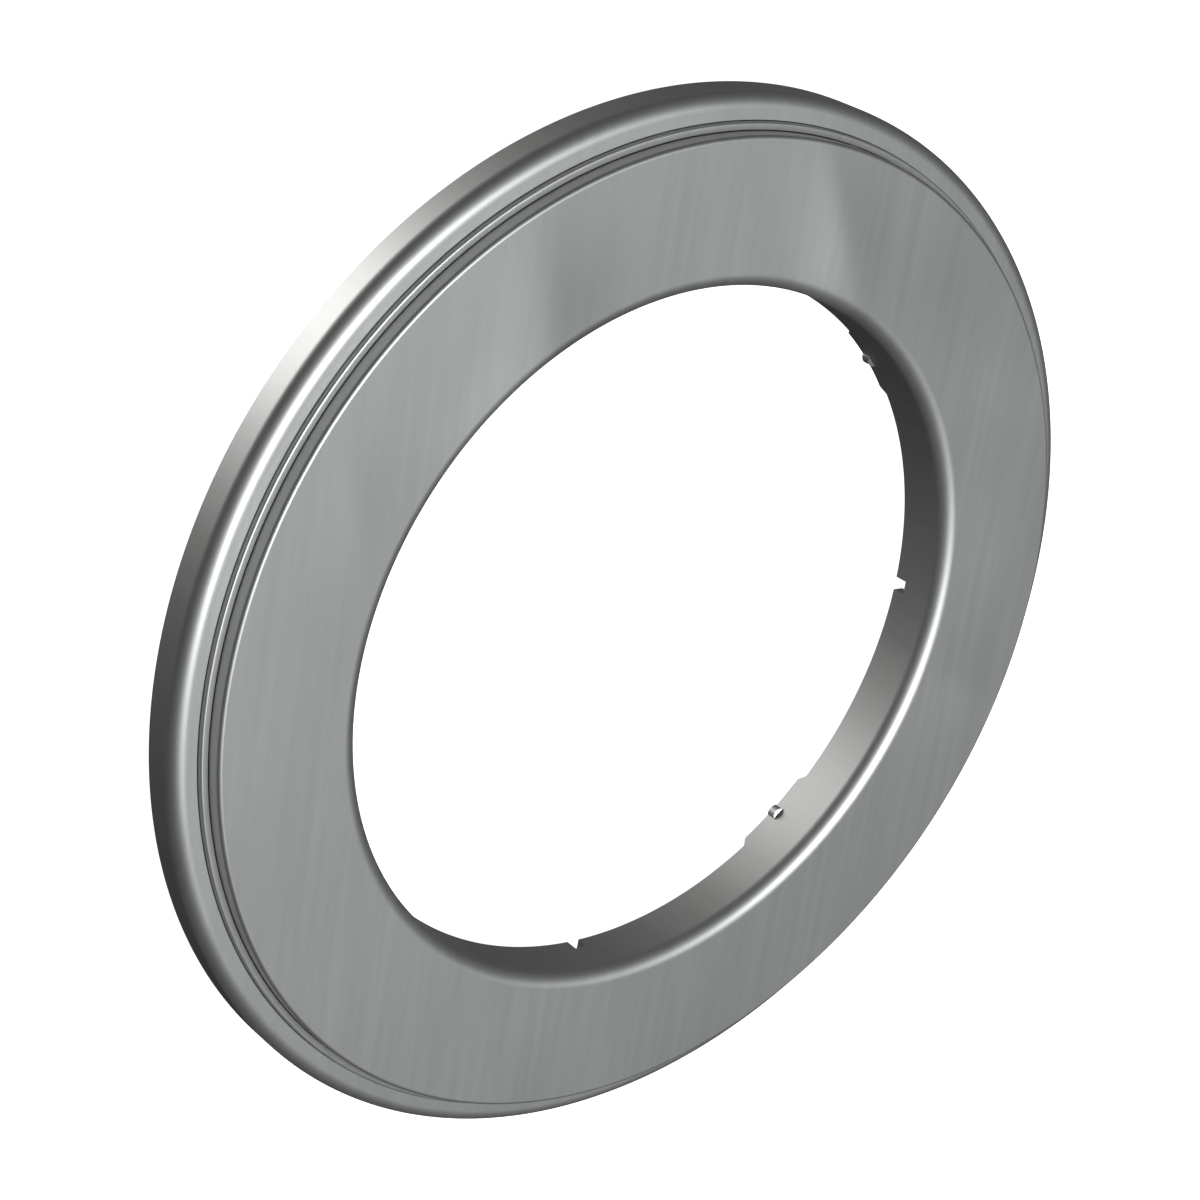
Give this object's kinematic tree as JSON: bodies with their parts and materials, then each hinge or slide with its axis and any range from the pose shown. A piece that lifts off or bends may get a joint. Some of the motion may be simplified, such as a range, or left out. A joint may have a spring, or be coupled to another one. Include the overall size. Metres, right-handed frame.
{
  "type": "thrust ball bearing",
  "caption": "Thin closed thrust ball bearing: a flat shaft washer with a tabbed bore flange turns on a caged ring of balls inside a rounded steel housing shell.",
  "frame": {"origin": "centre of the bore in the back plane that the housing rests on; the shaft washer's tabs reach 1 mm below it", "axes": "+Z along the bearing's axis, from the housing side to the shaft side; +X and +Y through the middles of two tabs"},
  "size_m": [0.15, 0.15, 0.0098],
  "materials": {
    "washer_steel": "fine brushed, satin",
    "seal_steel": "satin",
    "shell_steel": "drawn sheet steel, satin",
    "cage_plastic": "moulded, glass filled",
    "ball_steel": "ground and polished"
  },
  "bodies": {
    "housing": {"housing_shell": "shell_steel", "housing_washer": "washer_steel", "seal_ring": "seal_steel"},
    "shaft_side": {"shaft_washer": "washer_steel"},
    "cage": {"ball_cage": "cage_plastic"},
    "ball_01": {"ball_01": "ball_steel"},
    "ball_02": {"ball_02": "ball_steel"},
    "ball_03": {"ball_03": "ball_steel"},
    "ball_04": {"ball_04": "ball_steel"},
    "ball_05": {"ball_05": "ball_steel"},
    "ball_06": {"ball_06": "ball_steel"},
    "ball_07": {"ball_07": "ball_steel"},
    "ball_08": {"ball_08": "ball_steel"},
    "ball_09": {"ball_09": "ball_steel"},
    "ball_10": {"ball_10": "ball_steel"},
    "ball_11": {"ball_11": "ball_steel"},
    "ball_12": {"ball_12": "ball_steel"},
    "ball_13": {"ball_13": "ball_steel"},
    "ball_14": {"ball_14": "ball_steel"},
    "ball_15": {"ball_15": "ball_steel"},
    "ball_16": {"ball_16": "ball_steel"},
    "ball_17": {"ball_17": "ball_steel"},
    "ball_18": {"ball_18": "ball_steel"},
    "ball_19": {"ball_19": "ball_steel"},
    "ball_20": {"ball_20": "ball_steel"},
    "ball_21": {"ball_21": "ball_steel"},
    "ball_22": {"ball_22": "ball_steel"},
    "ball_23": {"ball_23": "ball_steel"},
    "ball_24": {"ball_24": "ball_steel"},
    "ball_25": {"ball_25": "ball_steel"},
    "ball_26": {"ball_26": "ball_steel"},
    "ball_27": {"ball_27": "ball_steel"},
    "ball_28": {"ball_28": "ball_steel"},
    "ball_29": {"ball_29": "ball_steel"},
    "ball_30": {"ball_30": "ball_steel"},
    "ball_31": {"ball_31": "ball_steel"},
    "ball_32": {"ball_32": "ball_steel"},
    "ball_33": {"ball_33": "ball_steel"},
    "ball_34": {"ball_34": "ball_steel"},
    "ball_35": {"ball_35": "ball_steel"},
    "ball_36": {"ball_36": "ball_steel"}
  },
  "joints": [
    {"name": "shaft_washer_spin", "type": "hinge", "parent": "housing", "child": "shaft_side", "pos_m": [0, 0, 0], "axis": [0, 0, 1], "continuous": true},
    {"name": "cage_spin", "type": "hinge", "parent": "housing", "child": "cage", "pos_m": [0, 0, 0.00438], "axis": [0, 0, 1], "continuous": true},
    {"name": "ball_01_spin", "type": "hinge", "parent": "cage", "child": "ball_01", "pos_m": [0.062, 0, 0.00438], "axis": [1, 0, 0], "continuous": true},
    {"name": "ball_02_spin", "type": "hinge", "parent": "cage", "child": "ball_02", "pos_m": [0.06106, 0.01077, 0.00438], "axis": [0.9848, 0.1736, 0], "continuous": true},
    {"name": "ball_03_spin", "type": "hinge", "parent": "cage", "child": "ball_03", "pos_m": [0.05826, 0.02121, 0.00438], "axis": [0.9397, 0.342, 0], "continuous": true},
    {"name": "ball_04_spin", "type": "hinge", "parent": "cage", "child": "ball_04", "pos_m": [0.05369, 0.031, 0.00438], "axis": [0.866, 0.5, 0], "continuous": true},
    {"name": "ball_05_spin", "type": "hinge", "parent": "cage", "child": "ball_05", "pos_m": [0.04749, 0.03985, 0.00438], "axis": [0.766, 0.6428, 0], "continuous": true},
    {"name": "ball_06_spin", "type": "hinge", "parent": "cage", "child": "ball_06", "pos_m": [0.03985, 0.04749, 0.00438], "axis": [0.6428, 0.766, 0], "continuous": true},
    {"name": "ball_07_spin", "type": "hinge", "parent": "cage", "child": "ball_07", "pos_m": [0.031, 0.05369, 0.00438], "axis": [0.5, 0.866, 0], "continuous": true},
    {"name": "ball_08_spin", "type": "hinge", "parent": "cage", "child": "ball_08", "pos_m": [0.02121, 0.05826, 0.00438], "axis": [0.342, 0.9397, 0], "continuous": true},
    {"name": "ball_09_spin", "type": "hinge", "parent": "cage", "child": "ball_09", "pos_m": [0.01077, 0.06106, 0.00438], "axis": [0.1736, 0.9848, 0], "continuous": true},
    {"name": "ball_10_spin", "type": "hinge", "parent": "cage", "child": "ball_10", "pos_m": [0, 0.062, 0.00438], "axis": [0, 1, 0], "continuous": true},
    {"name": "ball_11_spin", "type": "hinge", "parent": "cage", "child": "ball_11", "pos_m": [-0.01077, 0.06106, 0.00438], "axis": [-0.1736, 0.9848, 0], "continuous": true},
    {"name": "ball_12_spin", "type": "hinge", "parent": "cage", "child": "ball_12", "pos_m": [-0.02121, 0.05826, 0.00438], "axis": [-0.342, 0.9397, 0], "continuous": true},
    {"name": "ball_13_spin", "type": "hinge", "parent": "cage", "child": "ball_13", "pos_m": [-0.031, 0.05369, 0.00438], "axis": [-0.5, 0.866, 0], "continuous": true},
    {"name": "ball_14_spin", "type": "hinge", "parent": "cage", "child": "ball_14", "pos_m": [-0.03985, 0.04749, 0.00438], "axis": [-0.6428, 0.766, 0], "continuous": true},
    {"name": "ball_15_spin", "type": "hinge", "parent": "cage", "child": "ball_15", "pos_m": [-0.04749, 0.03985, 0.00438], "axis": [-0.766, 0.6428, 0], "continuous": true},
    {"name": "ball_16_spin", "type": "hinge", "parent": "cage", "child": "ball_16", "pos_m": [-0.05369, 0.031, 0.00438], "axis": [-0.866, 0.5, 0], "continuous": true},
    {"name": "ball_17_spin", "type": "hinge", "parent": "cage", "child": "ball_17", "pos_m": [-0.05826, 0.02121, 0.00438], "axis": [-0.9397, 0.342, 0], "continuous": true},
    {"name": "ball_18_spin", "type": "hinge", "parent": "cage", "child": "ball_18", "pos_m": [-0.06106, 0.01077, 0.00438], "axis": [-0.9848, 0.1736, 0], "continuous": true},
    {"name": "ball_19_spin", "type": "hinge", "parent": "cage", "child": "ball_19", "pos_m": [-0.062, 0, 0.00438], "axis": [-1, 0, 0], "continuous": true},
    {"name": "ball_20_spin", "type": "hinge", "parent": "cage", "child": "ball_20", "pos_m": [-0.06106, -0.01077, 0.00438], "axis": [-0.9848, -0.1736, 0], "continuous": true},
    {"name": "ball_21_spin", "type": "hinge", "parent": "cage", "child": "ball_21", "pos_m": [-0.05826, -0.02121, 0.00438], "axis": [-0.9397, -0.342, 0], "continuous": true},
    {"name": "ball_22_spin", "type": "hinge", "parent": "cage", "child": "ball_22", "pos_m": [-0.05369, -0.031, 0.00438], "axis": [-0.866, -0.5, 0], "continuous": true},
    {"name": "ball_23_spin", "type": "hinge", "parent": "cage", "child": "ball_23", "pos_m": [-0.04749, -0.03985, 0.00438], "axis": [-0.766, -0.6428, 0], "continuous": true},
    {"name": "ball_24_spin", "type": "hinge", "parent": "cage", "child": "ball_24", "pos_m": [-0.03985, -0.04749, 0.00438], "axis": [-0.6428, -0.766, 0], "continuous": true},
    {"name": "ball_25_spin", "type": "hinge", "parent": "cage", "child": "ball_25", "pos_m": [-0.031, -0.05369, 0.00438], "axis": [-0.5, -0.866, 0], "continuous": true},
    {"name": "ball_26_spin", "type": "hinge", "parent": "cage", "child": "ball_26", "pos_m": [-0.02121, -0.05826, 0.00438], "axis": [-0.342, -0.9397, 0], "continuous": true},
    {"name": "ball_27_spin", "type": "hinge", "parent": "cage", "child": "ball_27", "pos_m": [-0.01077, -0.06106, 0.00438], "axis": [-0.1736, -0.9848, 0], "continuous": true},
    {"name": "ball_28_spin", "type": "hinge", "parent": "cage", "child": "ball_28", "pos_m": [0, -0.062, 0.00438], "axis": [0, -1, 0], "continuous": true},
    {"name": "ball_29_spin", "type": "hinge", "parent": "cage", "child": "ball_29", "pos_m": [0.01077, -0.06106, 0.00438], "axis": [0.1736, -0.9848, 0], "continuous": true},
    {"name": "ball_30_spin", "type": "hinge", "parent": "cage", "child": "ball_30", "pos_m": [0.02121, -0.05826, 0.00438], "axis": [0.342, -0.9397, 0], "continuous": true},
    {"name": "ball_31_spin", "type": "hinge", "parent": "cage", "child": "ball_31", "pos_m": [0.031, -0.05369, 0.00438], "axis": [0.5, -0.866, 0], "continuous": true},
    {"name": "ball_32_spin", "type": "hinge", "parent": "cage", "child": "ball_32", "pos_m": [0.03985, -0.04749, 0.00438], "axis": [0.6428, -0.766, 0], "continuous": true},
    {"name": "ball_33_spin", "type": "hinge", "parent": "cage", "child": "ball_33", "pos_m": [0.04749, -0.03985, 0.00438], "axis": [0.766, -0.6428, 0], "continuous": true},
    {"name": "ball_34_spin", "type": "hinge", "parent": "cage", "child": "ball_34", "pos_m": [0.05369, -0.031, 0.00438], "axis": [0.866, -0.5, 0], "continuous": true},
    {"name": "ball_35_spin", "type": "hinge", "parent": "cage", "child": "ball_35", "pos_m": [0.05826, -0.02121, 0.00438], "axis": [0.9397, -0.342, 0], "continuous": true},
    {"name": "ball_36_spin", "type": "hinge", "parent": "cage", "child": "ball_36", "pos_m": [0.06106, -0.01077, 0.00438], "axis": [0.9848, -0.1736, 0], "continuous": true}
  ],
  "couplings": [
    {"joint": "cage_spin", "follows": "shaft_washer_spin", "ratio": 0.5},
    {"joint": "ball_01_spin", "follows": "shaft_washer_spin", "ratio": -13.02},
    {"joint": "ball_02_spin", "follows": "shaft_washer_spin", "ratio": -13.02},
    {"joint": "ball_03_spin", "follows": "shaft_washer_spin", "ratio": -13.02},
    {"joint": "ball_04_spin", "follows": "shaft_washer_spin", "ratio": -13.02},
    {"joint": "ball_05_spin", "follows": "shaft_washer_spin", "ratio": -13.02},
    {"joint": "ball_06_spin", "follows": "shaft_washer_spin", "ratio": -13.02},
    {"joint": "ball_07_spin", "follows": "shaft_washer_spin", "ratio": -13.02},
    {"joint": "ball_08_spin", "follows": "shaft_washer_spin", "ratio": -13.02},
    {"joint": "ball_09_spin", "follows": "shaft_washer_spin", "ratio": -13.02},
    {"joint": "ball_10_spin", "follows": "shaft_washer_spin", "ratio": -13.02},
    {"joint": "ball_11_spin", "follows": "shaft_washer_spin", "ratio": -13.02},
    {"joint": "ball_12_spin", "follows": "shaft_washer_spin", "ratio": -13.02},
    {"joint": "ball_13_spin", "follows": "shaft_washer_spin", "ratio": -13.02},
    {"joint": "ball_14_spin", "follows": "shaft_washer_spin", "ratio": -13.02},
    {"joint": "ball_15_spin", "follows": "shaft_washer_spin", "ratio": -13.02},
    {"joint": "ball_16_spin", "follows": "shaft_washer_spin", "ratio": -13.02},
    {"joint": "ball_17_spin", "follows": "shaft_washer_spin", "ratio": -13.02},
    {"joint": "ball_18_spin", "follows": "shaft_washer_spin", "ratio": -13.02},
    {"joint": "ball_19_spin", "follows": "shaft_washer_spin", "ratio": -13.02},
    {"joint": "ball_20_spin", "follows": "shaft_washer_spin", "ratio": -13.02},
    {"joint": "ball_21_spin", "follows": "shaft_washer_spin", "ratio": -13.02},
    {"joint": "ball_22_spin", "follows": "shaft_washer_spin", "ratio": -13.02},
    {"joint": "ball_23_spin", "follows": "shaft_washer_spin", "ratio": -13.02},
    {"joint": "ball_24_spin", "follows": "shaft_washer_spin", "ratio": -13.02},
    {"joint": "ball_25_spin", "follows": "shaft_washer_spin", "ratio": -13.02},
    {"joint": "ball_26_spin", "follows": "shaft_washer_spin", "ratio": -13.02},
    {"joint": "ball_27_spin", "follows": "shaft_washer_spin", "ratio": -13.02},
    {"joint": "ball_28_spin", "follows": "shaft_washer_spin", "ratio": -13.02},
    {"joint": "ball_29_spin", "follows": "shaft_washer_spin", "ratio": -13.02},
    {"joint": "ball_30_spin", "follows": "shaft_washer_spin", "ratio": -13.02},
    {"joint": "ball_31_spin", "follows": "shaft_washer_spin", "ratio": -13.02},
    {"joint": "ball_32_spin", "follows": "shaft_washer_spin", "ratio": -13.02},
    {"joint": "ball_33_spin", "follows": "shaft_washer_spin", "ratio": -13.02},
    {"joint": "ball_34_spin", "follows": "shaft_washer_spin", "ratio": -13.02},
    {"joint": "ball_35_spin", "follows": "shaft_washer_spin", "ratio": -13.02},
    {"joint": "ball_36_spin", "follows": "shaft_washer_spin", "ratio": -13.02}
  ]
}
